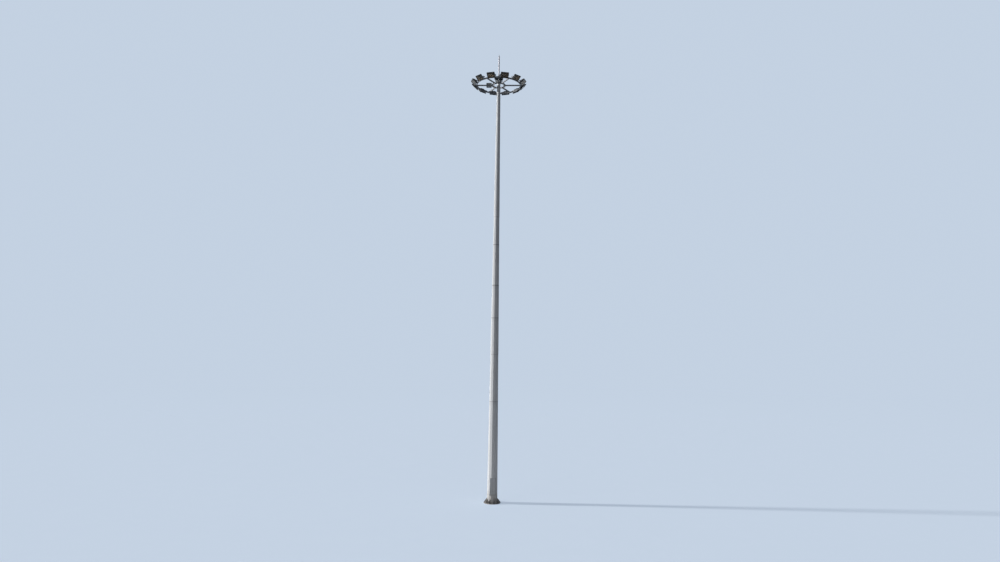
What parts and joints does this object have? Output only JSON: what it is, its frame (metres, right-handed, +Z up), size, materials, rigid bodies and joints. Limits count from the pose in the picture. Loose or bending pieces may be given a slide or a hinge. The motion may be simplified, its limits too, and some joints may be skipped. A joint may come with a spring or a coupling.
{
  "type": "high mast floodlight tower",
  "caption": "Tapered twelve-sided galvanised mast with a ring of tilting floodlights that slides down the shaft on ropes, a hooded head and a lightning rod.",
  "frame": {"origin": "centre of the base flange's underside, on the shaft's axis", "axes": "+Z up the shaft, -Y towards the picture's viewpoint and the service door, +X to the picture's right"},
  "size_m": [3.3436, 3.3436, 26.435],
  "materials": {
    "shaft_steel": "dull galvanised",
    "galvanised": "dull galvanised",
    "dark_steel": "dull dark paint",
    "hood_steel": "weathered dark galvanised",
    "rod_steel": "galvanised",
    "rope_wire": "greased wire rope",
    "roller_nylon": "white nylon",
    "box_paint": "satin grey paint",
    "lamp_casting": "weathered grey paint",
    "lamp_glass": "clear toughened glass"
  },
  "bodies": {
    "mast": {"base_flange": "galvanised", "base_gussets": "galvanised", "shaft_lower": "shaft_steel", "shaft_middle": "shaft_steel", "shaft_upper": "shaft_steel", "door_frame": "galvanised", "service_door": "galvanised", "winch": "dark_steel", "head_plate": "galvanised", "sheave_cheeks": "dark_steel", "sheaves": "dark_steel", "rain_hood": "hood_steel", "lightning_rod": "rod_steel", "rope_runs": "rope_wire", "hoist_ropes": "rope_wire"},
    "lamp_ring": {"outer_ring": "galvanised", "inner_ring": "galvanised", "ring_spokes": "galvanised", "roller_brackets": "galvanised", "guide_rollers": "roller_nylon", "rope_lugs": "galvanised", "junction_box": "box_paint", "lamp_tabs": "galvanised", "lamp_yokes": "galvanised"},
    "lamp_01": {"housing_01": "lamp_casting", "glass_01": "lamp_glass"},
    "lamp_02": {"housing_02": "lamp_casting", "glass_02": "lamp_glass"},
    "lamp_03": {"housing_03": "lamp_casting", "glass_03": "lamp_glass"},
    "lamp_04": {"housing_04": "lamp_casting", "glass_04": "lamp_glass"},
    "lamp_05": {"housing_05": "lamp_casting", "glass_05": "lamp_glass"},
    "lamp_06": {"housing_06": "lamp_casting", "glass_06": "lamp_glass"},
    "lamp_07": {"housing_07": "lamp_casting", "glass_07": "lamp_glass"},
    "lamp_08": {"housing_08": "lamp_casting", "glass_08": "lamp_glass"},
    "lamp_09": {"housing_09": "lamp_casting", "glass_09": "lamp_glass"},
    "lamp_10": {"housing_10": "lamp_casting", "glass_10": "lamp_glass"},
    "lamp_11": {"housing_11": "lamp_casting", "glass_11": "lamp_glass"},
    "lamp_12": {"housing_12": "lamp_casting", "glass_12": "lamp_glass"}
  },
  "joints": [
    {"name": "ring_lift", "type": "slide", "parent": "mast", "child": "lamp_ring", "axis": [0, 0, 1], "range_m": [-22.5, 0], "deforming": ["hoist_ropes"]},
    {"name": "tilt_01", "type": "hinge", "parent": "lamp_ring", "child": "lamp_01", "pos_m": [1.46388, 0.32721, 24.58], "axis": [-0.2181, 0.9759, 0], "range_deg": [-30, 15]},
    {"name": "tilt_02", "type": "hinge", "parent": "lamp_ring", "child": "lamp_02", "pos_m": [1.10415, 1.01531, 24.58], "axis": [-0.6769, 0.7361, 0], "range_deg": [-30, 15]},
    {"name": "tilt_03", "type": "hinge", "parent": "lamp_ring", "child": "lamp_03", "pos_m": [0.44856, 1.43136, 24.58], "axis": [-0.9542, 0.299, 0], "range_deg": [-30, 15]},
    {"name": "tilt_04", "type": "hinge", "parent": "lamp_ring", "child": "lamp_04", "pos_m": [-0.32721, 1.46388, 24.58], "axis": [-0.9759, -0.2181, 0], "range_deg": [-30, 15]},
    {"name": "tilt_05", "type": "hinge", "parent": "lamp_ring", "child": "lamp_05", "pos_m": [-1.01531, 1.10415, 24.58], "axis": [-0.7361, -0.6769, 0], "range_deg": [-30, 15]},
    {"name": "tilt_06", "type": "hinge", "parent": "lamp_ring", "child": "lamp_06", "pos_m": [-1.43136, 0.44856, 24.58], "axis": [-0.299, -0.9542, 0], "range_deg": [-30, 15]},
    {"name": "tilt_07", "type": "hinge", "parent": "lamp_ring", "child": "lamp_07", "pos_m": [-1.46388, -0.32721, 24.58], "axis": [0.2181, -0.9759, 0], "range_deg": [-30, 15]},
    {"name": "tilt_08", "type": "hinge", "parent": "lamp_ring", "child": "lamp_08", "pos_m": [-1.10415, -1.01531, 24.58], "axis": [0.6769, -0.7361, 0], "range_deg": [-30, 15]},
    {"name": "tilt_09", "type": "hinge", "parent": "lamp_ring", "child": "lamp_09", "pos_m": [-0.44856, -1.43136, 24.58], "axis": [0.9542, -0.299, 0], "range_deg": [-30, 15]},
    {"name": "tilt_10", "type": "hinge", "parent": "lamp_ring", "child": "lamp_10", "pos_m": [0.32721, -1.46388, 24.58], "axis": [0.9759, 0.2181, 0], "range_deg": [-30, 15]},
    {"name": "tilt_11", "type": "hinge", "parent": "lamp_ring", "child": "lamp_11", "pos_m": [1.01531, -1.10415, 24.58], "axis": [0.7361, 0.6769, 0], "range_deg": [-30, 15]},
    {"name": "tilt_12", "type": "hinge", "parent": "lamp_ring", "child": "lamp_12", "pos_m": [1.43136, -0.44856, 24.58], "axis": [0.299, 0.9542, 0], "range_deg": [-30, 15]}
  ]
}
